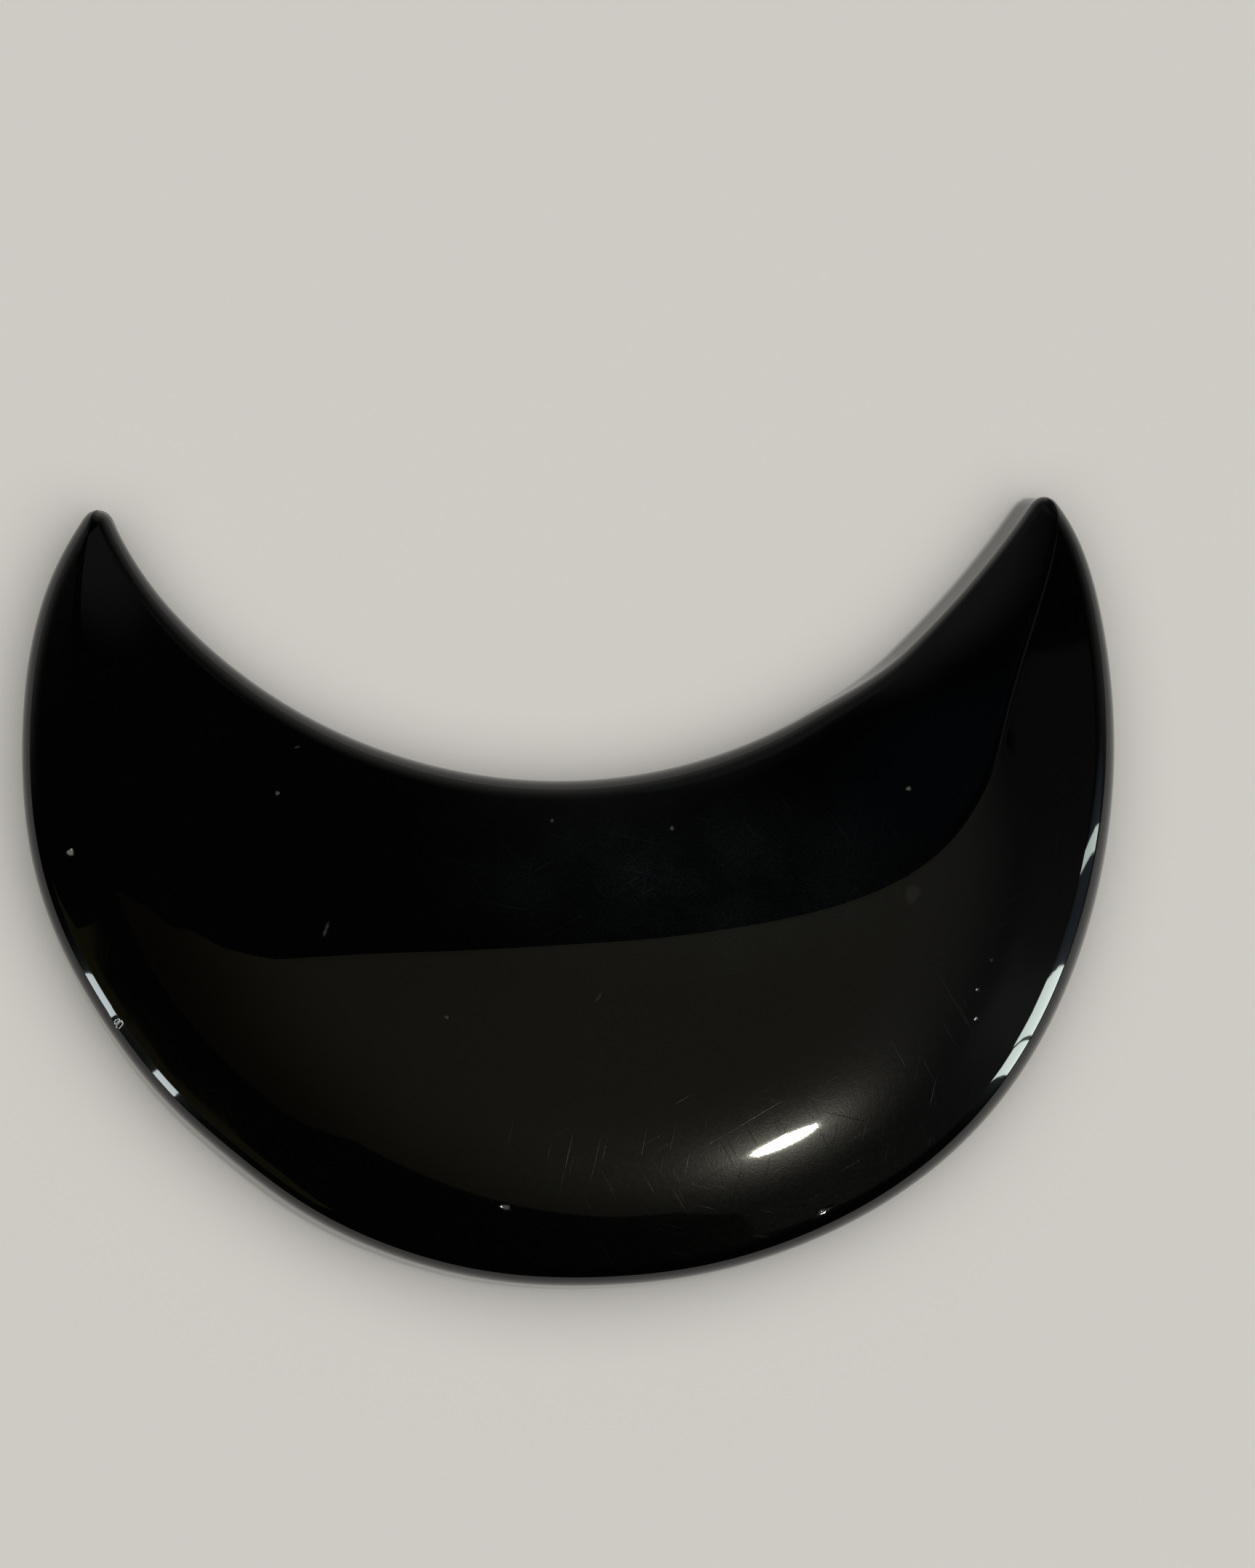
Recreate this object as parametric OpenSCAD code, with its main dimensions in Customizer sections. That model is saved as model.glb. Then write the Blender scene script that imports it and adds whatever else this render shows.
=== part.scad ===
// Crescent gua sha stone, ground and polished from one block.
// Lies on its flat back, tips towards +Y, domed face up. Millimetres.

/* [Crescent outline] */
// Radius of the round outer edge, measured at the back
outer_r = 50.4; // [42:0.1:62]
// Radius of the hollow inner edge, measured at the back
inner_r = 46.7; // [39:0.1:56]
// Distance from the centre of the outer edge up to the centre of the inner edge
hollow_rise = 42.8; // [36:0.1:52]
// Sideways offset of the inner edge's centre, which leaves one horn a little taller
hollow_shift = -2.3; // [-4:0.1:4]
// Radius that blunts the left tip
left_tip_r = 1.5; // [1.2:0.1:4]
// Radius that blunts the right tip
right_tip_r = 3.3; // [1.2:0.1:4]

/* [Thickness] */
// Height of the crown's dome, before the slope of the inner edge trims it
crown_h = 12; // [10:0.1:15]
// Radius of the crown's broad dome
crown_r = 700; // [400:10:1200]
// Height of the upright band along the outer edge
outer_band_h = 5; // [3:0.1:6.5]
// Height of the upright band along the inner edge
inner_band_h = 4.3; // [3:0.1:6]
// Lean of both bands, in degrees, so that the back is the widest
band_lean = 4; // [1:0.5:8]

/* [Rounding] */
// Radius that rolls the outer band over into the flank
outer_roll_r = 2.5; // [1:0.1:3.5]
// Radius that rolls the inner band over into the inner slope
inner_roll_r = 2.4; // [1:0.1:3.5]
// Slope of the flank above the outer edge, in degrees
flank_slope = 22; // [16:0.5:28]
// Radius of the soft shoulder between flank and crown, where the crown leaves room for it
shoulder_r = 40; // [10:1:60]
// Slope of the face where it leaves the inner roll, in degrees
inner_slope = 20; // [14:0.5:26]
// Radius of the broad curve that carries the inner slope up to the crown
inner_curve_r = 110; // [80:1:160]
// Radius along the rim of the flat back
back_r = 1; // [0.4:0.1:1.6]

/* [Hidden] */
$fn = 200;
stone_color = [0.07, 0.065, 0.06];

// Directions in a section: x runs out of the stone, y runs up
function up_normal(slope) = [sin(slope), cos(slope)];
function up_slope(slope) = [-cos(slope), sin(slope)];
function arc(centre, r, from, to, steps) =
    [for (i = [0:steps]) centre + r * up_normal(from + (to - from) * i / steps)];

// Each edge is a chain of tangent curves, with the widest point of the back at x = 0:
// back rim, leaning band, roll, then the face at the given slope
band_slope = 90 - band_lean;
back_centre = [-back_r, back_r];
band_foot = back_centre + back_r * up_normal(band_slope);
function band_top(band_h) =
    band_foot + up_slope(band_slope) * (band_h - band_foot[1]) / sin(band_slope);
function roll_centre(band_h, roll_r) = band_top(band_h) - roll_r * up_normal(band_slope);
function edge_chain(band_h, roll_r, slope) = concat(
    arc(back_centre, back_r, 180, band_slope, 5),
    arc(roll_centre(band_h, roll_r), roll_r, band_slope, slope, 8));

// The shoulder touches the flank below and the crown's dome above, and it is no rounder
// than the height between them leaves room for
flank_foot = [outer_r, 0] + roll_centre(outer_band_h, outer_roll_r)
    + outer_roll_r * up_normal(flank_slope);
crown_centre = [0, crown_h - crown_r];
foot_from = flank_foot - crown_centre;
shoulder_room = (crown_r ^ 2 - foot_from * foot_from)
    / (2 * (crown_r - foot_from * up_normal(flank_slope)));
shoulder = min(shoulder_r, 0.95 * shoulder_room);
shoulder_from = foot_from - shoulder * up_normal(flank_slope);
shoulder_along = shoulder_from * up_slope(flank_slope);
shoulder_run = -shoulder_along + sqrt(
    shoulder_along ^ 2 - shoulder_from * shoulder_from + (crown_r - shoulder) ^ 2);
shoulder_way = shoulder_from + shoulder_run * up_slope(flank_slope);
crown_slope = atan2(shoulder_way[0], shoulder_way[1]);

// The broad inner curve runs on until it has passed the far side of the stone
inner_reach = outer_r + hollow_rise + abs(hollow_shift);
curve_centre = roll_centre(inner_band_h, inner_roll_r)
    + (inner_roll_r - inner_curve_r) * up_normal(inner_slope);
curve_end = asin((inner_r - inner_reach - curve_centre[0]) / inner_curve_r);

// Plan: a blunt tip is a round post that touches both edges
hollow_centre = [hollow_shift, hollow_rise];
hollow_distance = norm(hollow_centre);
hollow_way = hollow_centre / hollow_distance;
function tip_up(tip_r) =
    ((outer_r - tip_r) ^ 2 - (inner_r + tip_r) ^ 2 + hollow_distance ^ 2) / (2 * hollow_distance);
function tip_out(tip_r) = sqrt((outer_r - tip_r) ^ 2 - tip_up(tip_r) ^ 2);
function tip_centre(tip_r, side) =
    hollow_way * tip_up(tip_r) + side * [hollow_way[1], -hollow_way[0]] * tip_out(tip_r);
left_tip = tip_centre(left_tip_r, -1);
right_tip = tip_centre(right_tip_r, 1);
tip_post_fullness = 1.04; // the post stands a little proud, so that it meets the edges cleanly
plan_top = max(
    left_tip[1] + left_tip_r * tip_post_fullness,
    right_tip[1] + right_tip_r * tip_post_fullness);
plan_shift = [0, (outer_r - plan_top) / 2, 0];

module outer_section() {
    edge = edge_chain(outer_band_h, outer_roll_r, flank_slope);
    polygon(concat(
        [[0, 0]],
        [for (p = edge) [outer_r + p[0], p[1]]],
        arc(crown_centre + shoulder_way, shoulder, flank_slope, crown_slope, 6),
        arc(crown_centre, crown_r, crown_slope, 0, 6)));
}

module inner_section() {
    edge = concat(
        edge_chain(inner_band_h, inner_roll_r, inner_slope),
        arc(curve_centre, inner_curve_r, inner_slope, curve_end, 9));
    polygon(concat([for (p = edge) [inner_r - p[0], p[1]]], [[inner_reach, 0]]));
}

// A round post with the same back rim and lean as the bands, under a round top
module tip_post(r) {
    top_r = r + band_top(outer_band_h)[0];
    edge = edge_chain(outer_band_h, top_r, 0);
    rotate_extrude() polygon(concat([[0, 0]], [for (p = edge) [max(0, r + p[0]), p[1]]]));
}

// What is ground off the sharp end of a horn: all beyond the line between the two places
// where the post touches the edges, apart from the post
module tip_waste(tip_r, centre) {
    outer_touch = centre * outer_r / (outer_r - tip_r);
    inner_touch = hollow_centre + (centre - hollow_centre) * inner_r / (inner_r + tip_r);
    across = outer_touch - inner_touch;
    middle = (outer_touch + inner_touch) / 2;
    onward = 4 * tip_r * (middle - centre) / norm(middle - centre);
    difference() {
        translate([0, 0, -1]) linear_extrude(crown_h + 2) polygon([
            middle - across, middle + across,
            middle + across + onward, middle - across + onward
        ]);
        translate(centre) tip_post(tip_r * tip_post_fullness);
    }
}

// Both turned shapes start their turn at +Y, so that their seams lie clear of the stone
module crescent_stone() {
    color(stone_color) translate(plan_shift) difference() {
        intersection() {
            rotate(90) rotate_extrude() outer_section();
            translate(hollow_centre) rotate(90) rotate_extrude() inner_section();
        }
        tip_waste(left_tip_r, left_tip);
        tip_waste(right_tip_r, right_tip);
    }
}

crescent_stone();
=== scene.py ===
import math
import bmesh
import bpy
import numpy as np
from mathutils import Matrix, Vector


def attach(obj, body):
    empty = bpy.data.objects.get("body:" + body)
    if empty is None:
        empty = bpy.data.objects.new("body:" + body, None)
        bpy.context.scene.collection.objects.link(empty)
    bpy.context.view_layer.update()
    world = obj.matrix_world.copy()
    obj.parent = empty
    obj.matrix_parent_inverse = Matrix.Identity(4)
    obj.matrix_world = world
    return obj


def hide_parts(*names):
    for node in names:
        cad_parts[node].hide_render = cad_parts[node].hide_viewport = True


# Crescent gua sha stone: one polished black stone lying on a pale table.
# Sizes are in millimetres and angles in degrees until the mesh is made.

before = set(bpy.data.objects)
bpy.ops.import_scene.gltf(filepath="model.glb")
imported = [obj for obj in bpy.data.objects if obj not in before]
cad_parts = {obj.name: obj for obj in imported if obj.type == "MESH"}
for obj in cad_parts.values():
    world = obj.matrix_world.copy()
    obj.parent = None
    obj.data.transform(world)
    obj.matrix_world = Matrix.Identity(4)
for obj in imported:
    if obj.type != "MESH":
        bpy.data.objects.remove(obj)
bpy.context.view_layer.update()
mm = 0.001

stone = {
    "outerCentre": (0.0, 13.30),      # middle of the round outer edge
    "outerRadius": 49.95,
    "outerSwell": [                   # direction, height and spread of each bulge
        (393, -1.7, 7.5),
        (390, 0.9, 17),
        (316, 1.15, 23),
        (272, -0.2, 10),
        (231, -0.3, 8),
        (197, 0.6, 13),
        (149.5, -2.0, 12),
    ],
    "hollowCentre": (-2.6, 56.10),    # middle of the hollow inner edge
    "hollowRadius": 46.98,
    "cheekStart": 30.0,               # inside of the right horn: where it starts to draw back
    "cheekEnd": 44.0,                 # where it has drawn back in full and starts to straighten
    "cheekDepth": 0.72,
    "cheekRate": 0.0052,              # how fast it straightens
    "leftEnd": (46.0, -0.005),        # left horn: where its inside starts to close in, and how fast
    "leftTip": 1.45,                  # radius that blunts each tip
    "rightTip": 1.4,
    "edgeSoftness": 0.3,              # rounding where the tips meet the edges
    "lean": 4.0,                      # lean of the side bands
    "cheekLean": 7.3,                 # more lean on the inside of the right horn
    "cheekLeanFrom": 0.70,            # share of the way along the inner edge where that starts
    "cheekLeanRun": 0.13,             # share over which it grows
    "cheekLeanEnd": 0.006,            # last share, over which it is gone again
    "backRim": 0.9,                   # radius along the rim of the flat back
    # around the outer edge: direction, lean of the band (below 0 it overhangs)
    "outerLean": [(140, -5), (185, -5), (208, 0), (232, 4), (400, 4)],
    # around the outer edge: direction, band height, roll radius, slope of the flank
    "outerForm": [
        (145, 4.7, 1.8, 30),
        (160, 4.9, 2.3, 25.5),
        (195, 5.0, 2.5, 22),
        (255, 5.0, 2.5, 22),
        (290, 4.8, 2.8, 21),
        (318, 4.3, 3.6, 20),
        (345, 4.0, 4.2, 18),
        (362, 4.2, 3.6, 14),
        (378, 4.6, 2.6, 13),
        (398, 4.7, 2.0, 15),
    ],
    # around the hollow edge, from straight down: direction, band height, roll radius, slope
    "innerForm": [
        (-68, 4.7, 1.8, 14),
        (-55, 4.3, 2.4, 14.6),
        (-42, 3.9, 3.0, 15.2),
        (-32, 3.8, 3.2, 14.8),
        (-24, 3.8, 3.2, 16.6),
        (-12, 3.8, 3.3, 21.3),
        (0, 3.8, 3.3, 24.6),
        (15, 3.8, 3.2, 24),
        (27, 4.0, 2.8, 21.1),
        (36, 4.4, 2.2, 20.5),
        (45, 4.8, 1.5, 24),
        (54, 4.9, 1.3, 25),
        (68, 4.7, 1.4, 23),
    ],
    "formSoftness": 5.0,              # degrees over which one row blends into the next
    "shoulderRadius": 40.0,           # between the flank and the crown
    "shoulderRoom": 0.95,             # most of the room under the crown that it may take
    "innerCurve": 110.0,              # broad curve from the inner slope up to the ridge
    "tipBand": 4.7,                   # height of the side at both tips
    "tipReach": 2.5,                  # distance over which the sides come to that height
    "crownHeight": 11.78,
    "crownRadius": 700.0,
    "ridgeSoftness": 0.2,             # the ridge between dome and inner slope is this soft
    "ridgeFade": 3.0,                 # and turns sharp nearer than this to an edge
    "edgeStep": 0.1,                  # spacing of the points along the outline
    "stations": 400,                  # rows of faces from tip to tip
    "evenStations": 0.14,             # share of them that is evenly spaced; the rest crowd at the tips
    "outerCrowding": 0.43,            # how far the outer edge's stations lie nearer the tips
    "faceRows": 118,                  # rows across the face, between the rolls
    "rowCrowding": 0.45,              # share of them that crowds towards the rolls
    "rollRows": 11,
    "innerRowRoll": (3.2, 20),        # roll radius and slope that the rows over it are spaced for
    "outerRowRoll": (3.4, 20),
    "narrow": 7.0,                    # where the stone is narrower the rows over the rolls close up
    "bandRows": 4,
    "rimRows": 5,
    "backRows": 12,
}


def smoothStep(x):
    x = np.clip(x, 0, 1)
    return x * x * (3 - 2 * x)


def polar(centre, radius, degrees):
    a = np.radians(degrees)
    return np.stack([centre[0] + radius * np.cos(a), centre[1] + radius * np.sin(a)], -1)


def outerEdge(degrees):
    radius = np.full_like(degrees, stone["outerRadius"])
    for where, height, spread in stone["outerSwell"]:
        radius += height * np.exp(-((degrees - where) / spread) ** 2)
    return polar(stone["outerCentre"], radius, degrees)


def innerEdge(degrees):
    # degrees run from 180 at the left to 360 at the right, 270 straight down
    hollow = stone["hollowRadius"]
    start, end = stone["cheekStart"], stone["cheekEnd"]
    drawnBack = stone["cheekDepth"] * smoothStep((degrees - 270 - start) / (end - start))
    past = np.clip(degrees - 270 - end, 0, None) * hollow * math.pi / 180
    leftStart, leftRate = stone["leftEnd"]
    leftPast = np.clip(270 - degrees - leftStart, 0, None) * hollow * math.pi / 180
    radius = hollow + drawnBack + stone["cheekRate"] * past ** 2 + leftRate * leftPast ** 2
    return polar(stone["hollowCentre"], radius, degrees)


def cornerOf(side):
    # the sharp corner where the two edges would meet, to the left for -1 and to the right for 1
    sweep, steps = 80, 8000
    inner = np.linspace(270, 270 + side * sweep, steps + 1)
    points = innerEdge(inner)
    fromCentre = points - np.array(stone["outerCentre"])
    outer = np.degrees(np.arctan2(fromCentre[:, 1], fromCentre[:, 0])) % 360
    outer = np.where(outer < 90, outer + 360, outer)
    reach = np.hypot(*(outerEdge(outer) - np.array(stone["outerCentre"])).T)
    k = int(np.argmax(reach - np.hypot(*fromCentre.T) < 0))
    return inner[k], outer[k], points[k]


def runLength(points):
    return np.concatenate([[0], np.cumsum(np.hypot(*np.diff(points, axis=0).T))])


def resample(points, step):
    run = runLength(points)
    count = int(run[-1] / step) + 1
    at = np.linspace(0, run[-1], count)
    return np.stack([np.interp(at, run, points[:, 0]), np.interp(at, run, points[:, 1])], -1)


def tipArc(outer, inner, radius):
    # both lines start at the sharp corner; a round tip that touches them takes its place
    clear, arcPoints = 40, 60         # clear is a point of the line well away from the corner
    along = np.gradient(outer, axis=0)
    along /= np.hypot(*along.T)[:, None]
    inward = np.stack([-along[:, 1], along[:, 0]], -1)
    if ((inner[clear] - outer[clear]) * inward[clear]).sum() < 0:
        inward = -inward
    centres = outer + radius * inward
    for i in range(4, len(outer)):
        away = np.hypot(*(inner - centres[i]).T)
        if away.min() >= radius:
            break
    j = int(np.argmin(away))
    centre = centres[i]
    wayOut = math.atan2(*(outer[0] - centre)[::-1])

    def bearingOf(point):
        turned = math.atan2(*(point - centre)[::-1]) - wayOut
        return (turned + math.pi) % (2 * math.pi) - math.pi

    a = wayOut + np.linspace(bearingOf(outer[i]), bearingOf(inner[j]), arcPoints)
    return i, j, centre + radius * np.stack([np.cos(a), np.sin(a)], -1)


def roundedEdges():
    # the outer and the inner edge from the left tip to the right one, each with its outward directions
    count = 4000
    innerLeft, outerLeft, cornerLeft = cornerOf(-1)
    innerRight, outerRight, cornerRight = cornerOf(1)
    outer = outerEdge(np.linspace(outerLeft, outerRight, count))
    inner = innerEdge(np.linspace(innerRight, innerLeft, count))
    outerRightCut, innerRightCut, rightArc = tipArc(outer[::-1], inner, stone["rightTip"])
    outerLeftCut, innerLeftCut, leftArc = tipArc(outer, inner[::-1], stone["leftTip"])
    loop = np.concatenate([
        outer[outerLeftCut:count - outerRightCut],
        rightArc[1:-1],
        inner[innerRightCut:count - innerLeftCut],
        leftArc[::-1][1:],
    ])
    step, softness = stone["edgeStep"], stone["edgeSoftness"]
    loop = resample(loop, step)[:-1]
    reach = int(5 * softness / step)
    weights = np.exp(-0.5 * (np.arange(-reach, reach + 1) * step / softness) ** 2)
    weights /= weights.sum()
    soft = np.zeros_like(loop)
    for shift, weight in zip(range(-reach, reach + 1), weights):
        soft += weight * np.roll(loop, shift, axis=0)
    left = int(np.argmin(np.hypot(*(soft - cornerLeft).T)))
    right = int(np.argmin(np.hypot(*(soft - cornerRight).T)))
    soft = np.roll(soft, -left, axis=0)
    right = (right - left) % len(soft)
    tangent = np.roll(soft, -1, axis=0) - np.roll(soft, 1, axis=0)
    tangent /= np.hypot(*tangent.T)[:, None]
    outward = np.stack([tangent[:, 1], -tangent[:, 0]], -1)
    closed = np.concatenate([soft, soft[:1]])
    closedOutward = np.concatenate([outward, outward[:1]])
    outerLine = closed[:right + 1], closedOutward[:right + 1]
    innerLine = closed[right:][::-1], closedOutward[right:][::-1]
    return outerLine, innerLine


def pick(edge, fraction):
    # places, outward directions and distances from the nearer tip, at fractions of the edge's length
    points, outward = edge
    run = runLength(points)
    at = fraction * run[-1]
    place = np.stack([np.interp(at, run, points[:, k]) for k in (0, 1)], -1)
    normal = np.stack([np.interp(at, run, outward[:, k]) for k in (0, 1)], -1)
    normal /= np.hypot(*normal.T)[:, None]
    return place, normal, np.minimum(at, run[-1] - at)


def nearest(points, edge):
    # distance to the edge: a coarse look finds the closest stretch, which is then measured
    line = edge[0]
    skip, batch = 4, 2000
    coarse = line[::skip]
    best = np.empty(len(points), int)
    for start in range(0, len(points), batch):
        part = points[start:start + batch, None]
        away = (part[..., 0] - coarse[:, 0]) ** 2 + (part[..., 1] - coarse[:, 1]) ** 2
        best[start:start + batch] = np.argmin(away, 1) * skip
    distance = np.full(len(points), 1e9)
    for shift in range(-skip - 1, skip + 1):
        a = np.clip(best + shift, 0, len(line) - 2)
        along = line[a + 1] - line[a]
        share = ((points - line[a]) * along).sum(1) / (along ** 2).sum(1)
        share = np.clip(share, 0, 1)
        here = np.hypot(*(points - line[a] - share[:, None] * along).T)
        distance = np.minimum(distance, here)
    return distance


def turn(centre, radius, fromSlope, toSlope, steps):
    # points on a curve whose slope goes from one angle to another; x runs out of the stone
    a = np.radians(np.linspace(fromSlope, toSlope, steps))
    return np.stack([centre[0] + radius * np.sin(a), centre[1] + radius * np.cos(a)], -1)


def rollCentre(band, roll):
    a = math.radians(90 - stone["lean"])
    return np.array([-roll * math.sin(a), band - roll * math.cos(a)])


def outerSection(band, roll, flank):
    # a section through the outer side: roll, flank, soft shoulder, crown
    slope = math.radians(flank)
    normal = np.array([math.sin(slope), math.cos(slope)])
    uphill = np.array([-math.cos(slope), math.sin(slope)])
    crown = stone["crownRadius"]
    centre = rollCentre(band, roll)
    foot = centre + roll * normal
    crownCentre = np.array([-stone["outerRadius"], stone["crownHeight"] - crown])
    fromCrown = foot - crownCentre
    room = (crown ** 2 - fromCrown @ fromCrown) / (2 * (crown - fromCrown @ normal))
    shoulder = min(stone["shoulderRadius"], stone["shoulderRoom"] * room)
    gap = fromCrown - shoulder * normal
    along = gap @ uphill
    run = -along + math.sqrt(along ** 2 - gap @ gap + (crown - shoulder) ** 2)
    way = gap + run * uphill
    crownSlope = math.degrees(math.atan2(way[0], way[1]))
    return np.concatenate([
        turn(centre, roll, 90 - stone["lean"], flank, steps=300),
        turn(crownCentre + way, shoulder, flank, crownSlope, steps=400),
        turn(crownCentre, crown, crownSlope, -1, steps=600)[1:],
    ])


def innerSection(band, roll, start):
    # a section through the inner side: roll, then the broad curve, carried on past the ridge
    curve = stone["innerCurve"]
    slope = math.radians(start)
    centre = rollCentre(band, roll)
    curveCentre = centre + (roll - curve) * np.array([math.sin(slope), math.cos(slope)])
    return np.concatenate([
        turn(centre, roll, 90 - stone["lean"], start, steps=300),
        turn(curveCentre, curve, start, -20, steps=600)[1:],
    ])


def softForm(form):
    # the form's values at every degree, with no corners where one row meets the next
    rows = np.array(form, float)
    degrees = np.arange(rows[0, 0], rows[-1, 0] + 1)
    spread = stone["formSoftness"]
    pull = np.exp(-0.5 * ((degrees[:, None] - degrees[None, :]) / spread) ** 2)
    pull /= pull.sum(1)[:, None]
    return degrees, [pull @ np.interp(degrees, rows[:, 0], rows[:, k]) for k in range(1, rows.shape[1])]


# heights are kept by the square root of the distance from the edge, which is finest over the roll
rootStep = 0.004
rootReach = 7.4


def heightTable(form, section):
    degrees, (band, roll, slope) = softForm(form)
    roots = np.arange(0, rootReach, rootStep)
    lines = []
    for values in zip(band, roll, slope):
        line = section(*values)
        lines.append(np.interp(roots ** 2, -line[:, 0], line[:, 1]))
    return degrees, np.array(lines), band


outerHeights = heightTable(stone["outerForm"], outerSection)
innerHeights = heightTable(stone["innerForm"], innerSection)


def lookUp(table, direction, distance):
    degrees, heights, _ = table
    lastOne = 1.001                   # stops just short of the last row and column
    row = np.clip(direction - degrees[0], 0, len(degrees) - lastOne)
    column = np.clip(np.sqrt(distance) / rootStep, 0, heights.shape[1] - lastOne)
    r, c = row.astype(int), column.astype(int)
    down, across = row - r, column - c
    return ((heights[r, c] * (1 - across) + heights[r, c + 1] * across) * (1 - down)
            + (heights[r + 1, c] * (1 - across) + heights[r + 1, c + 1] * across) * down)


def outerDirection(points):
    away = points - np.array(stone["outerCentre"])
    degrees = np.degrees(np.arctan2(away[:, 1], away[:, 0])) % 360
    return np.where(degrees < 90, degrees + 360, degrees)


def innerDirection(points):
    away = points - np.array(stone["hollowCentre"])
    return np.degrees(np.arctan2(away[:, 0], -away[:, 1]))


def faceHeight(points, outer, inner):
    # the lower of dome and inner slope, softened where the two cross
    fromOuter, fromInner = nearest(points, outer), nearest(points, inner)
    dome = lookUp(outerHeights, outerDirection(points), fromOuter)
    slope = lookUp(innerHeights, innerDirection(points), fromInner)
    fade = smoothStep(np.minimum(fromOuter, fromInner) / stone["ridgeFade"])
    soft = stone["ridgeSoftness"] * fade + 1e-6
    blend = np.clip(soft - np.abs(dome - slope), 0, None) / soft
    return np.minimum(dome, slope) - blend ** 2 * soft / 4


def rollOffsets(radius, slope):
    # distances from the edge of rows that climb a roll by even angles
    a = np.radians(np.linspace(90 - stone["lean"], slope, stone["rollRows"]))
    return radius * (math.sin(a[0]) - np.sin(a))


def faceOffsets(width):
    # rows across the face: close together over the two rolls, more even between them
    squeeze = np.minimum(1, width / stone["narrow"])[:, None]
    fromInner = rollOffsets(*stone["innerRowRoll"])[None, :] * squeeze
    fromOuter = rollOffsets(*stone["outerRowRoll"])[None, ::-1] * squeeze
    between = np.linspace(0, 1, stone["faceRows"] + 2)[1:-1]
    crowding = stone["rowCrowding"]
    between = (1 - crowding) * between + crowding * (1 - np.cos(math.pi * between)) / 2
    room = width[:, None] - fromInner[:, -1:] - fromOuter[:, :1]
    middle = fromInner[:, -1:] + between[None, :] * room
    return np.concatenate([fromInner, middle, width[:, None] - fromOuter], 1)


def edgeRows(place, outward, top, lean):
    # from the top of a side down its leaning band and round the rim of the back
    rim = stone["backRim"]
    reach = (top - rim) * np.tan(np.radians(lean))
    rows = []
    for k in range(1, stone["bandRows"] + 1):
        down = k / stone["bandRows"]
        rows.append((place + outward * (reach * down)[:, None], top - (top - rim) * down))
    for k in range(1, stone["rimRows"] + 1):
        a = math.pi / 2 * k / stone["rimRows"]
        offset = reach - rim * (1 - math.cos(a))
        low = np.full(len(place), rim * (1 - math.sin(a)))
        rows.append((place + outward * offset[:, None], low))
    return np.stack([np.concatenate([p, z[:, None]], 1) for p, z in rows], 1)


def innerLeans(s):
    # the lean of the inner side grows along the right horn and is plain again at its tip
    grown = smoothStep((s - stone["cheekLeanFrom"]) / stone["cheekLeanRun"])
    lean = stone["lean"] + stone["cheekLean"] * grown
    stay = smoothStep((1 - s) / stone["cheekLeanEnd"])
    return stone["lean"] * (1 - stay) + lean * stay


def crescentMesh():
    outer, inner = roundedEdges()
    u = np.linspace(0, 1, stone["stations"] + 1)
    even = stone["evenStations"]
    s = even * u + (1 - even) * (1 - np.cos(math.pi * u)) / 2
    innerPlace, innerOut, innerEnd = pick(inner, s)
    outerShare = s - stone["outerCrowding"] * np.sin(2 * math.pi * s) / (2 * math.pi)
    outerPlace, outerOut, outerEnd = pick(outer, outerShare)
    width = np.hypot(*(outerPlace - innerPlace).T)

    share = faceOffsets(width) / np.maximum(width, 1e-9)[:, None]
    face = innerPlace[:, None, :] + share[:, :, None] * (outerPlace - innerPlace)[:, None, :]
    height = faceHeight(face.reshape(-1, 2), outer, inner).reshape(face.shape[:2])
    atTip = np.exp(-(np.minimum(innerEnd, outerEnd) / stone["tipReach"]) ** 2)
    for column, table, directions in (
            (0, innerHeights, innerDirection(innerPlace)),
            (-1, outerHeights, outerDirection(outerPlace))):
        band = np.interp(directions, table[0], table[2])
        height[:, column] = band + (stone["tipBand"] - band) * atTip
    height[0, :] = height[-1, :] = stone["tipBand"]
    faceLines = np.concatenate([face, height[:, :, None]], 2)

    outerLean = np.interp(outerDirection(outerPlace), *np.array(stone["outerLean"], float).T)
    innerSide = edgeRows(innerPlace, innerOut, height[:, 0], innerLeans(s))
    outerSide = edgeRows(outerPlace, outerOut, height[:, -1], outerLean)
    t = np.linspace(0, 1, stone["backRows"] + 2)[1:-1][None, :, None]
    back = outerSide[:, -1:, :] + t * (innerSide[:, -1:, :] - outerSide[:, -1:, :])
    loops = np.concatenate([innerSide[:, ::-1], faceLines, outerSide, back], 1)

    stationCount, rowCount = loops.shape[:2]
    index = np.arange(stationCount * rowCount).reshape(stationCount, rowCount)
    a, b = index[:-1], index[1:]
    quads = np.stack([a, b, np.roll(b, -1, 1), np.roll(a, -1, 1)], -1).reshape(-1, 4)
    return loops.reshape(-1, 3) * mm, quads


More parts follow.
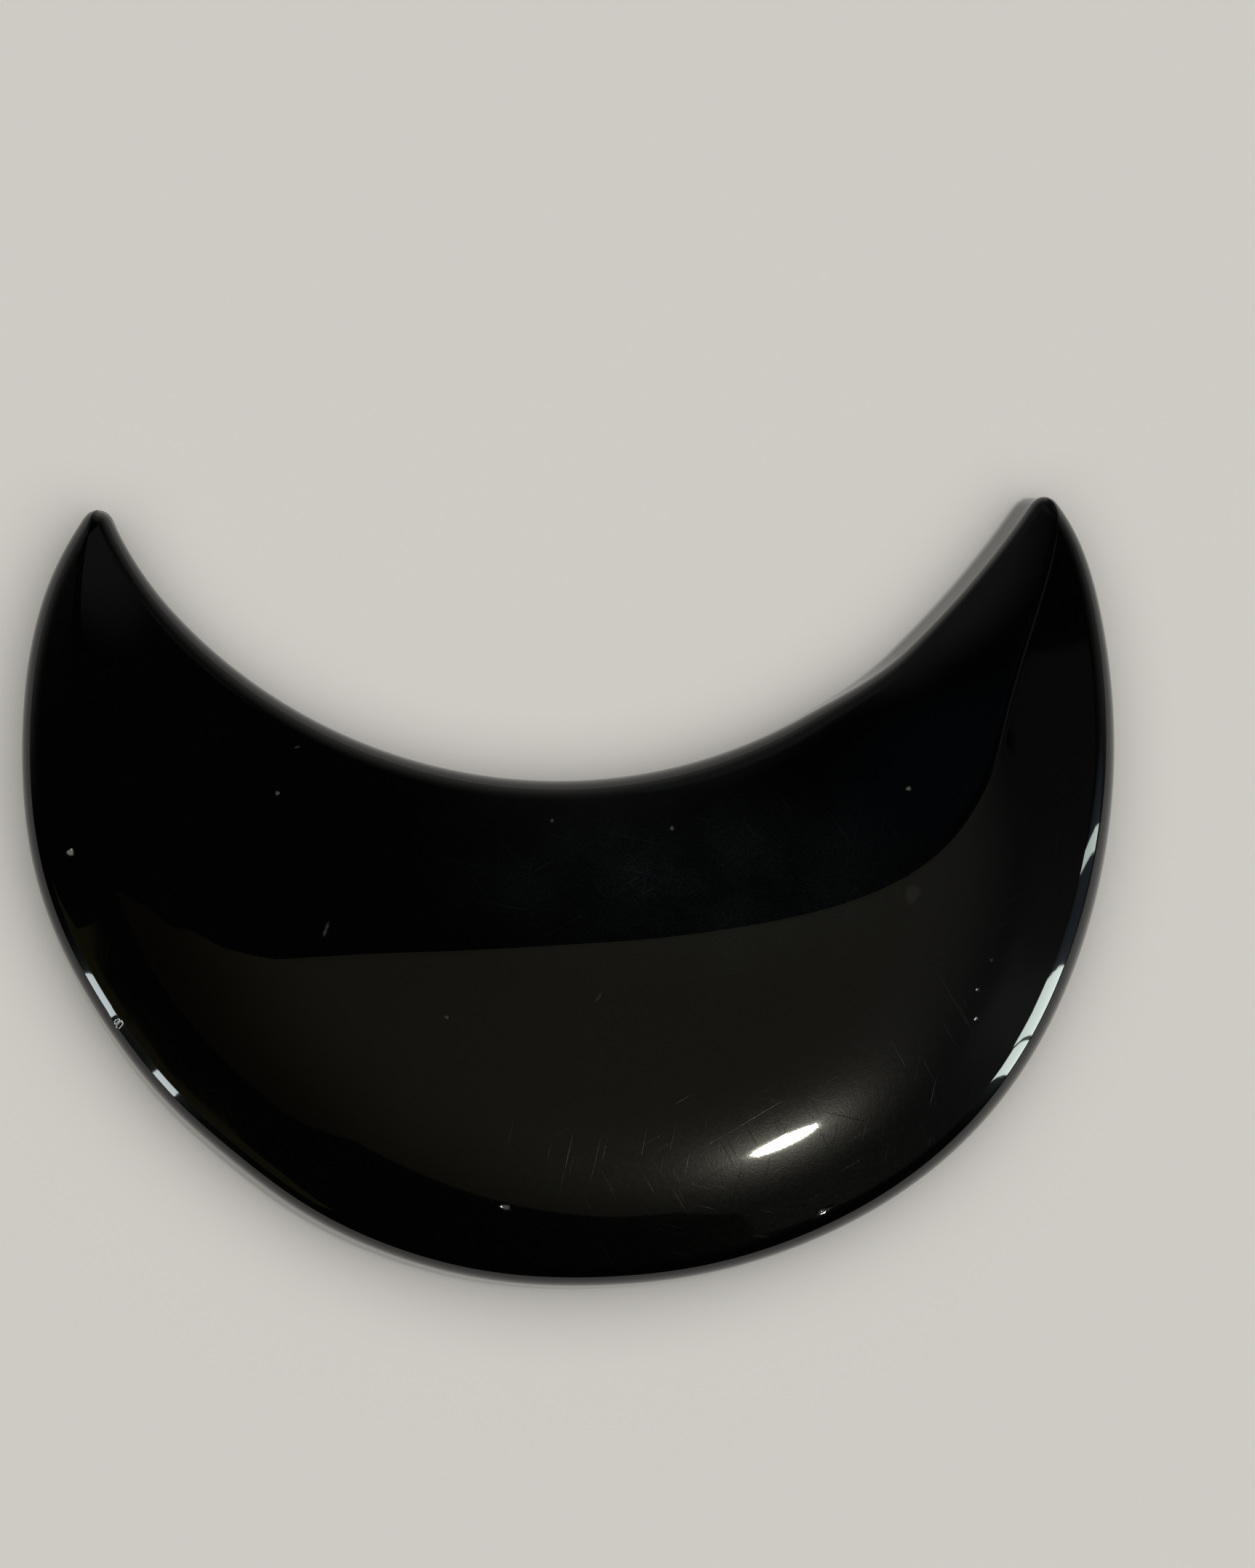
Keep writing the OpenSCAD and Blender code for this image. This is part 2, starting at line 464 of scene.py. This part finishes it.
# small flaws: place, half length, half width, direction, depth, paleness
flaws = [
    ((-45.7, 1.6), 0.34, 0.30, 0, 0.10, 0.60),
    ((-27.5, 7.1), 0.22, 0.18, 40, 0.06, 0.22),
    ((29.5, 8.3), 0.24, 0.20, 10, 0.07, 0.30),
    ((35.7, -9.9), 0.18, 0.15, 0, 0.03, 0.16),
    ((35.7, -12.5), 0.18, 0.15, 0, 0.03, 0.16),
    ((8.0, 4.5), 0.22, 0.16, 80, 0.05, 0.18),
    ((-2.8, 5.1), 0.20, 0.13, 60, 0.04, 0.14),
    ((-12.6, -12.9), 0.18, 0.14, 0, 0.04, 0.16),
    ((-7.1, -29.5), 0.46, 0.22, -8, 0.09, 0.26),
    ((-41.3, -13.4), 0.40, 0.25, 50, 0.09, 0.20),
    ((21.7, -29.8), 0.42, 0.20, 28, 0.07, 0.16),
    ((-23.3, -5.2), 0.75, 0.12, 68, 0.02, 0.12),
    ((0.9, -11.0), 0.60, 0.10, 60, 0.02, 0.06),
    ((-25.7, 11.4), 0.30, 0.10, 20, 0.02, 0.08),
    ((37.0, -7.2), 0.16, 0.14, 0, 0.02, 0.10),
    ((29.4, -1.4), 1.0, 0.75, 65, 0.0, 0.022),
]
carving = {
    "margin": 0.45,                   # the mesh is made finer this far beyond a flaw's end
    "cuts": 4,
    "upward": 0.1,                    # only where the face looks up more than this
    "settle": 1.0,                    # heights are worked out again this far beyond its end
    "lowest": 4.9,                    # nothing below this height is carved
    "raggedness": 0.10,
    "chalkGlintEdge": 1.6,                 # how sharply the paleness ends at the flaw's edge
}


def inFlaw(points, flaw):
    # 1 in the middle of the flaw, 0 outside it
    place, length, width, direction = flaw[:4]
    away = points - np.array(place)
    a = math.radians(direction)
    along = (away[:, 0] * math.cos(a) + away[:, 1] * math.sin(a)) / length
    across = (away[:, 1] * math.cos(a) - away[:, 0] * math.sin(a)) / width
    ragged = 1 + carving["raggedness"] * np.sin(3 * np.arctan2(across, along) + place[0])
    return np.clip(1 - (along ** 2 + across ** 2) / ragged ** 2, 0, 1)


def carveFlaws(maker):
    outer, inner = roundedEdges()
    for flaw in flaws:
        place, reach = Vector(flaw[0]), flaw[1] + carving["margin"]
        nearby = [f for f in maker.faces if f.normal.z > carving["upward"]
                  and (f.calc_center_median().xy / mm - place).length < reach]
        edges = list({e for f in nearby for e in f.edges})
        bmesh.ops.subdivide_edges(maker, edges=edges, cuts=carving["cuts"], use_grid_fill=True)
    maker.verts.ensure_lookup_table()
    # paleness of each pit: the dust in it, and a painted glint of its edges
    chalkAndGlint = maker.verts.layers.float.new("chalkAndGlint")
    spots = np.array([v.co for v in maker.verts]) / mm
    for flaw in flaws:
        place, length, _, _, depth, paleness = flaw
        away = np.hypot(*(spots[:, :2] - np.array(place)).T)
        close = np.flatnonzero((away < length + carving["settle"]) & (spots[:, 2] > carving["lowest"]))
        points = spots[close, :2]
        heights = faceHeight(points, outer, inner)
        for k, z, dent in zip(close, heights, inFlaw(points, flaw)):
            vertex = maker.verts[int(k)]
            vertex.co.z = (z - depth * dent) * mm
            vertex[chalkAndGlint] = max(vertex[chalkAndGlint], paleness * min(1, carving["chalkGlintEdge"] * dent))


def makeCrescent():
    weld, sliver = 0.002 * mm, 0.0005 * mm
    vertices, quads = crescentMesh()
    mesh = bpy.data.meshes.new("crescent")
    mesh.from_pydata(vertices.tolist(), [], quads.tolist())
    maker = bmesh.new()
    maker.from_mesh(mesh)
    bmesh.ops.remove_doubles(maker, verts=maker.verts, dist=weld)
    bmesh.ops.dissolve_degenerate(maker, edges=maker.edges, dist=sliver)
    bmesh.ops.recalc_face_normals(maker, faces=maker.faces)
    carveFlaws(maker)
    maker.to_mesh(mesh)
    maker.free()
    mesh.polygons.foreach_set("use_smooth", [True] * len(mesh.polygons))
    crescent = bpy.data.objects.new("crescent", mesh)
    bpy.context.scene.collection.objects.link(crescent)
    print("stone shaped:", len(mesh.polygons), "faces")
    return crescent


polish = {
    "black": (0.0003, 0.0003, 0.0003, 1),
    "wearSheen": (0.009, 0.0112, 0.012, 1),        # painted sheen: rubbed, scratched polish painted paler, as it looks against the light
    "chalkAndGlint": (0.22, 0.21, 0.19, 1),           # pale floor of a pit: dust in it, and a painted glint of its edges catching light
    "refraction": 1.5,                        # volcanic glass
    "gloss": 0.03,                            # roughness of the clear top
    "undercoatShine": 0.018,
    "undercoatRoughness": (0.35, 0.65, 0.19, 0.23),   # noise from and to, roughness from and to
    "clouds": (140.0, 3.0),                   # size (per metre) and detail of each noise
    "grain": (2400.0, 4.0),
    "speckle": (5200.0, 3.0),
    "waves": (75.0, 2.0),
    "speckleRange": (0.20, 0.90, 0.0, 0.85),  # noise from and to, painted sheen from and to
    "cloudRange": (0.35, 0.65, 0.4, 1.0),
    "rubbedSheenMiddle": (-0.38, 0.0, 0),          # offset and stretch of the most rubbed oval, where the painted sheen is strongest
    "rubbedSheenStretch": (40.0, 100.0, 0.0),
    "rubbedSheenRange": (0.1, 1.15, 0.85, 0.06),
    "scratchDirections": (12, 58, 101, 149),
    "scratchStretch": (150.0, 6500.0, 150.0),
    "scratchShift": (3.1, 1.7),               # keeps the directions from sharing one pattern
    "scratchCut": (0.70, 0.82, 0.0, 1.0),     # only the noise's peaks become lines
    "scratchSheen": 0.8,
    "scratchBump": (0.00005, 0.006),          # height in metres and strength
    "waveBump": (0.0002, 0.05),               # slow unevenness of hand polishing
    "roughBump": (0.00002, 0.24),
}


def addNode(tree, kind, **values):
    node = tree.nodes.new(kind)
    for name, value in values.items():
        if name in node.inputs:
            node.inputs[name].default_value = value
        else:
            setattr(node, name, value)
    return node


def rangeNode(tree, source, fromLow, fromHigh, toLow, toHigh, smooth=False):
    node = tree.nodes.new("ShaderNodeMapRange")
    if smooth:
        node.interpolation_type = "SMOOTHSTEP"
    node.inputs["From Min"].default_value = fromLow
    node.inputs["From Max"].default_value = fromHigh
    node.inputs["To Min"].default_value = toLow
    node.inputs["To Max"].default_value = toHigh
    tree.links.new(source, node.inputs["Value"])
    return node.outputs["Result"]


def mathNode(tree, operation, *sources):
    node = tree.nodes.new("ShaderNodeMath")
    node.operation = operation
    for k, source in enumerate(sources):
        if isinstance(source, (int, float)):
            node.inputs[k].default_value = source
        else:
            tree.links.new(source, node.inputs[k])
    return node.outputs[0]


def noiseNode(tree, vector, scale, detail):
    node = addNode(tree, "ShaderNodeTexNoise", Scale=scale, Detail=detail)
    tree.links.new(vector, node.inputs["Vector"])
    return node.outputs["Fac"]


def bumpNode(tree, height, bump, below=None):
    node = addNode(tree, "ShaderNodeBump", Distance=bump[0], Strength=bump[1])
    tree.links.new(height, node.inputs["Height"])
    if below is not None:
        tree.links.new(below, node.inputs["Normal"])
    return node.outputs["Normal"]


def mixNode(tree, share, low, high):
    node = addNode(tree, "ShaderNodeMix", data_type="RGBA")
    factor, first, second = node.inputs[0], node.inputs[6], node.inputs[7]
    tree.links.new(share, factor)
    if isinstance(low, tuple):
        first.default_value = low
    else:
        tree.links.new(low, first)
    second.default_value = high
    return node.outputs[2]


def hairlines(tree, place):
    # scratches: stretched noise cut to thin lines, in a few directions
    total = None
    for k, degrees in enumerate(polish["scratchDirections"]):
        turned = addNode(tree, "ShaderNodeVectorRotate", rotation_type="Z_AXIS")
        turned.inputs["Angle"].default_value = math.radians(degrees)
        tree.links.new(place, turned.inputs["Vector"])
        drawn = addNode(tree, "ShaderNodeMapping", Scale=polish["scratchStretch"])
        drawn.inputs["Location"].default_value = (*(k * shift for shift in polish["scratchShift"]), 0)
        tree.links.new(turned.outputs["Vector"], drawn.inputs["Vector"])
        noise = noiseNode(tree, drawn.outputs["Vector"], scale=1.0, detail=1.0)
        lines = rangeNode(tree, noise, *polish["scratchCut"])
        total = lines if total is None else mathNode(tree, "ADD", total, lines)
    return total


def rubbedAndSheen(tree, place):
    # the middle of the face is the most rubbed, and the painted sheen is strongest there
    middle = addNode(tree, "ShaderNodeMapping", Location=polish["rubbedSheenMiddle"],
                     Scale=polish["rubbedSheenStretch"])
    tree.links.new(place, middle.inputs["Vector"])
    reach = addNode(tree, "ShaderNodeVectorMath", operation="LENGTH")
    tree.links.new(middle.outputs["Vector"], reach.inputs[0])
    return rangeNode(tree, reach.outputs["Value"], *polish["rubbedSheenRange"], smooth=True)


def polishedBlack():
    material = bpy.data.materials.new("polishedBlackStone")
    material.use_nodes = True
    tree = material.node_tree
    shader = tree.nodes["Principled BSDF"]
    shader.inputs["IOR"].default_value = polish["refraction"]
    shader.inputs["Specular IOR Level"].default_value = polish["undercoatShine"]
    shader.inputs["Coat Weight"].default_value = 1.0
    shader.inputs["Coat Roughness"].default_value = polish["gloss"]
    shader.inputs["Coat IOR"].default_value = polish["refraction"]
    place = addNode(tree, "ShaderNodeTexCoord").outputs["Object"]
    clouds = noiseNode(tree, place, *polish["clouds"])
    grain = noiseNode(tree, place, *polish["grain"])
    speckle = noiseNode(tree, place, *polish["speckle"])
    scratches = hairlines(tree, place)

    roughness = rangeNode(tree, grain, *polish["undercoatRoughness"])
    tree.links.new(roughness, shader.inputs["Roughness"])
    # painted sheen: speckles and scratches make the black paler, standing in for light that rubbed
    # polish scatters
    wearAndSheen = mathNode(tree, "ADD", rangeNode(tree, speckle, *polish["speckleRange"]),
                    mathNode(tree, "MULTIPLY", scratches, polish["scratchSheen"]))
    wearAndSheen = mathNode(tree, "MULTIPLY", wearAndSheen, rangeNode(tree, clouds, *polish["cloudRange"]))
    wearAndSheen = mathNode(tree, "MULTIPLY", wearAndSheen, rubbedAndSheen(tree, place))
    blackWithSheen = mixNode(tree, wearAndSheen, polish["black"], polish["wearSheen"])
    # pits painted pale: dust in them, and a painted glint of their edges
    chalkAndGlint = addNode(tree, "ShaderNodeAttribute", attribute_name="chalkAndGlint")
    withChalkGlint = mixNode(tree, chalkAndGlint.outputs["Fac"], blackWithSheen, polish["chalkAndGlint"])
    tree.links.new(withChalkGlint, shader.inputs["Base Color"])

    wave = bumpNode(tree, noiseNode(tree, place, *polish["waves"]), polish["waveBump"])
    finish = bumpNode(tree, scratches, polish["scratchBump"], wave)
    tree.links.new(finish, shader.inputs["Coat Normal"])
    rough = bumpNode(tree, mathNode(tree, "ADD", speckle, scratches), polish["roughBump"])
    tree.links.new(rough, shader.inputs["Normal"])
    return material


crescent = makeCrescent()
crescent.data.materials.append(polishedBlack())
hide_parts("crescent_stone")
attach(crescent, "root")
print("stone polished")


# from here on sizes are in metres
tableTop = {
    "radius": 2.0,
    "below": 0.00005,                 # a hair under the stone's back
    "color": (0.60, 0.59, 0.57, 1),
    "roughness": 0.9,
    "shine": 0.1,
}


def makeTable():
    mesh = bpy.data.meshes.new("table")
    maker = bmesh.new()
    bmesh.ops.create_circle(maker, cap_ends=True, segments=96, radius=tableTop["radius"])
    maker.to_mesh(mesh)
    maker.free()
    floor = bpy.data.objects.new("table", mesh)
    bpy.context.scene.collection.objects.link(floor)
    floor.location.z = -tableTop["below"]
    material = bpy.data.materials.new("palePaper")
    material.use_nodes = True
    shader = material.node_tree.nodes["Principled BSDF"]
    shader.inputs["Base Color"].default_value = tableTop["color"]
    shader.inputs["Roughness"].default_value = tableTop["roughness"]
    shader.inputs["Specular IOR Level"].default_value = tableTop["shine"]
    mesh.materials.append(material)


makeTable()

# dim ceiling panels that only the stone's gloss sees: corners at the ceiling's height
ceiling = {
    "height": 1.0,
    "corners": [
        (-0.70, -0.17), (-0.45, -0.18), (-0.26, -0.12), (-0.10, 0.02), (0.0, 0.17), (0.12, 0.22),
        (0.35, 0.26), (0.60, 0.26), (0.78, 0.34), (0.88, 0.37), (1.22, 0.20), (1.22, -0.30),
        (1.10, -0.52), (1.4, -0.85), (1.25, -1.0), (0.75, -0.92), (0.45, -0.88), (0.34, -0.80),
        (0.22, -0.79), (0.03, -0.70), (-0.16, -0.59), (-0.25, -0.54), (-0.42, -0.57),
        (-0.53, -0.47), (-0.64, -0.34), (-0.68, -0.22),
    ],
    "middle": (0.25, -0.15),
    "fade": (0.15, 0.85),             # distances from the middle where it starts and ends to dim
    "glow": (0.170, 0.045),
    "colorSpan": (-0.75, 0.9),        # from left to right: olive, warm, near white
    "colors": [
        (0.1, (0.62, 0.50, 0.17)),
        (0.55, (1.0, 0.94, 0.70)),
        (1.0, (1.0, 0.98, 0.95)),
    ],
    "sideCorners": [
        (-0.86, -0.29), (-0.81, -0.40), (-0.68, -0.58), (-0.55, -0.70), (-0.50, -0.80),
        (-0.47, -1.10), (-0.8, -1.6), (-1.6, -0.9), (-1.7, -0.3),
    ],
    "sideColor": (1.0, 0.88, 0.32),
    "sideGlow": 0.09,
}


def flatPanel(name, corners, color, glow):
    mesh = bpy.data.meshes.new(name)
    mesh.from_pydata([tuple(c) for c in corners], [], [list(range(len(corners)))])
    obj = bpy.data.objects.new(name, mesh)
    bpy.context.scene.collection.objects.link(obj)
    material = bpy.data.materials.new(name + "Glow")
    material.use_nodes = True
    shader = material.node_tree.nodes["Principled BSDF"]
    shader.inputs["Base Color"].default_value = (0, 0, 0, 1)
    shader.inputs["Specular IOR Level"].default_value = 0
    shader.inputs["Emission Color"].default_value = (*color, 1)
    shader.inputs["Emission Strength"].default_value = glow
    mesh.materials.append(material)
    obj.visible_camera = False
    obj.visible_diffuse = False
    obj.visible_shadow = False
    return material.node_tree, shader


def makeCeiling():
    height = ceiling["height"]
    corners = [(x, y, height) for x, y in ceiling["corners"]]
    tree, shader = flatPanel("ceiling", corners, (1, 1, 1), ceiling["glow"][0])
    spot = tree.nodes.new("ShaderNodeTexCoord").outputs["Object"]
    fromMiddle = addNode(tree, "ShaderNodeVectorMath", operation="DISTANCE")
    fromMiddle.inputs[1].default_value = (*ceiling["middle"], height)
    tree.links.new(spot, fromMiddle.inputs[0])
    glow = rangeNode(tree, fromMiddle.outputs["Value"], *ceiling["fade"], *ceiling["glow"], smooth=True)
    tree.links.new(glow, shader.inputs["Emission Strength"])
    across = addNode(tree, "ShaderNodeSeparateXYZ")
    tree.links.new(spot, across.inputs[0])
    ramp = tree.nodes.new("ShaderNodeValToRGB")
    ramp.color_ramp.elements.new(0.5)
    for element, (at, color) in zip(ramp.color_ramp.elements, ceiling["colors"]):
        element.position = at
        element.color = (*color, 1)
    share = rangeNode(tree, across.outputs["X"], *ceiling["colorSpan"], 0.0, 1.0)
    tree.links.new(share, ramp.inputs["Fac"])
    tree.links.new(ramp.outputs["Color"], shader.inputs["Emission Color"])
    sideCorners = [(x, y, height) for x, y in ceiling["sideCorners"]]
    flatPanel("lowerCeiling", sideCorners, ceiling["sideColor"], ceiling["sideGlow"])


def bearing(azimuth, elevation, distance):
    a, e = math.radians(azimuth), math.radians(elevation)
    return Vector((math.cos(a) * math.cos(e), math.sin(a) * math.cos(e), math.sin(e))) * distance


# upright window panes: from and to bearing, from and to elevation, colour, glow
paneDistance = 1.5
panes = {
    "rightWindowTop": (-2.3, 0.2, 6, 37, (0.85, 1.0, 0.93), 9.0),
    "rightWindowNear": (-21.0, -13.0, 4, 38.3, (0.86, 1.0, 0.93), 14.0),
    "rightWindowFar": (-26.5, -21.6, 4, 35.5, (0.86, 1.0, 0.93), 14.0),
    "leftWindowNear": (-153.8, -148.6, 3, 32, (0.88, 0.97, 1.0), 12.0),
    "leftWindowFar": (-140.4, -136.0, 3, 32, (0.88, 0.97, 1.0), 12.0),
}


def makeWindows():
    for name, (azFrom, azTo, low, high, color, glow) in panes.items():
        corners = []
        for azimuth, elevation in ((azFrom, low), (azTo, low), (azTo, high), (azFrom, high)):
            rise = Vector((0, 0, paneDistance * math.tan(math.radians(elevation))))
            corners.append(bearing(azimuth, 0, paneDistance) + rise)
        flatPanel(name, corners, color, glow)


makeCeiling()
makeWindows()
print("ceiling and windows in place")

fill = {
    "height": 1.3,
    "size": (3.2, 3.2),
    "power": 49.0,
    "color": (1.0, 0.98, 0.95),
}
deskLamp = {
    "place": (0.445, -0.49),          # seen from the stone: its place on a plane one metre up
    "height": 0.96,
    "size": (0.096, 0.050),           # an oval
    "roll": -13.0,
    "power": 10.0,
    "color": (1.0, 0.97, 0.80),
}


def softBox(name, place, size, power, color, roll=0.0):
    # an area light that faces the middle of the table
    light = bpy.data.lights.new(name, "AREA")
    light.shape = "RECTANGLE"
    light.size, light.size_y = size
    light.energy = power
    light.color = color
    obj = bpy.data.objects.new(name, light)
    bpy.context.scene.collection.objects.link(obj)
    spin = (-Vector(place)).normalized().to_track_quat("-Z", "Y").to_matrix().to_4x4()
    obj.matrix_world = Matrix.Translation(place) @ spin @ Matrix.Rotation(math.radians(roll), 4, "Z")
    obj.visible_camera = False
    return obj


overhead = softBox("ceilingFill", (0.0, 0.0, fill["height"]), fill["size"], fill["power"], fill["color"])
overhead.visible_glossy = False
lampPlace = Vector((*deskLamp["place"], 1.0)) * deskLamp["height"]
lamp = softBox("deskLamp", lampPlace, deskLamp["size"], deskLamp["power"], deskLamp["color"],
               deskLamp["roll"])
lamp.data.shape = "ELLIPSE"
lamp.visible_diffuse = False
print("fill light and lamp in place")

# walls: soft patches around the dark room, and a glow that rises towards the far horizon
room = {
    "patches": [
        # bearing, elevation, full angle, faded angle, colour
        (114, 18, 25, 31, (0.115, 0.118, 0.122)),
        (38, 56, 3, 9, (0.10, 0.10, 0.10)),
        (48, 44, 4, 10, (0.07, 0.07, 0.07)),
        (104, 57, 3, 10, (0.002, 0.016, 0.023)),
        (-9, 20, 12, 20, (0.12, 0.145, 0.20)),
        (8, 12, 12, 26, (0.05, 0.022, 0.035)),
    ],
    "horizonRise": (0.74, -0.05),     # sine of the elevation where it starts and is full
    "horizonSide": (-0.05, 0.40),     # it starts and is full this far round to the far side
    "horizonColor": (0.34, 0.34, 0.31),
    "ambient": (0.0035, 0.0035, 0.0035),
    "backdrop": (0.56, 0.55, 0.53, 1),
}


def brighter(tree, first, second):
    node = addNode(tree, "ShaderNodeVectorMath", operation="MAXIMUM")
    tree.links.new(first, node.inputs[0])
    tree.links.new(second, node.inputs[1])
    return node.outputs[0]


def tinted(tree, color, share):
    node = addNode(tree, "ShaderNodeVectorMath", operation="SCALE")
    node.inputs[0].default_value = color
    tree.links.new(share, node.inputs["Scale"])
    return node.outputs[0]


def makeRoom():
    world = bpy.data.worlds.new("room")
    bpy.context.scene.world = world
    world.use_nodes = True
    tree = world.node_tree
    way = tree.nodes.new("ShaderNodeTexCoord").outputs["Generated"]

    parts = addNode(tree, "ShaderNodeSeparateXYZ")
    tree.links.new(way, parts.inputs[0])
    low = rangeNode(tree, parts.outputs["Z"], *room["horizonRise"], 0.0, 1.0, smooth=True)
    far = rangeNode(tree, parts.outputs["Y"], *room["horizonSide"], 0.0, 1.0, smooth=True)
    total = tinted(tree, room["horizonColor"], mathNode(tree, "MULTIPLY", low, far))
    for azimuth, elevation, full, faded, color in room["patches"]:
        dot = addNode(tree, "ShaderNodeVectorMath", operation="DOT_PRODUCT")
        dot.inputs[1].default_value = bearing(azimuth, elevation, 1)
        tree.links.new(way, dot.inputs[0])
        edge, middle = math.cos(math.radians(faded)), math.cos(math.radians(full))
        patch = rangeNode(tree, dot.outputs["Value"], edge, middle, 0.0, 1.0, smooth=True)
        total = brighter(tree, total, tinted(tree, color, patch))
    dim = addNode(tree, "ShaderNodeVectorMath", operation="ADD")
    dim.inputs[1].default_value = room["ambient"]
    tree.links.new(total, dim.inputs[0])
    background = tree.nodes["Background"]
    tree.links.new(dim.outputs[0], background.inputs["Color"])

    # seen directly, the room is a plain pale backdrop
    backdrop = addNode(tree, "ShaderNodeBackground", Color=room["backdrop"])
    seen = addNode(tree, "ShaderNodeMixShader")
    tree.links.new(addNode(tree, "ShaderNodeLightPath").outputs["Is Camera Ray"], seen.inputs[0])
    tree.links.new(background.outputs[0], seen.inputs[1])
    tree.links.new(backdrop.outputs[0], seen.inputs[2])
    tree.links.new(seen.outputs[0], tree.nodes["World Output"].inputs[0])


makeRoom()
bpy.context.scene.view_settings.view_transform = "Standard"
print("room in place")

# looks almost straight down, from a little to the left and below; target and distance in millimetres
view = {
    "target": (4.85, 9.13, 2.0),
    "distance": 398.4,
    "tilt": 10.5,
    "towards": (-0.79, -0.61),
    "lens": 100.0,
    "clip": (0.01, 20),
}


def makeCamera():
    data = bpy.data.cameras.new("camera")
    data.lens = view["lens"]
    data.clip_start, data.clip_end = view["clip"]
    camera = bpy.data.objects.new("camera", data)
    bpy.context.scene.collection.objects.link(camera)
    tilt = math.radians(view["tilt"])
    side = Vector(view["towards"]).normalized() * math.sin(tilt)
    back = Vector((side.x, side.y, math.cos(tilt)))
    up = Vector((0, 1, 0))
    up = (up - back * up.dot(back)).normalized()
    right = up.cross(back)
    spin = Matrix((right, up, back)).transposed().to_4x4()
    place = Vector(view["target"]) * mm + back * view["distance"] * mm
    camera.matrix_world = Matrix.Translation(place) @ spin
    bpy.context.scene.camera = camera


makeCamera()
print("camera in place")
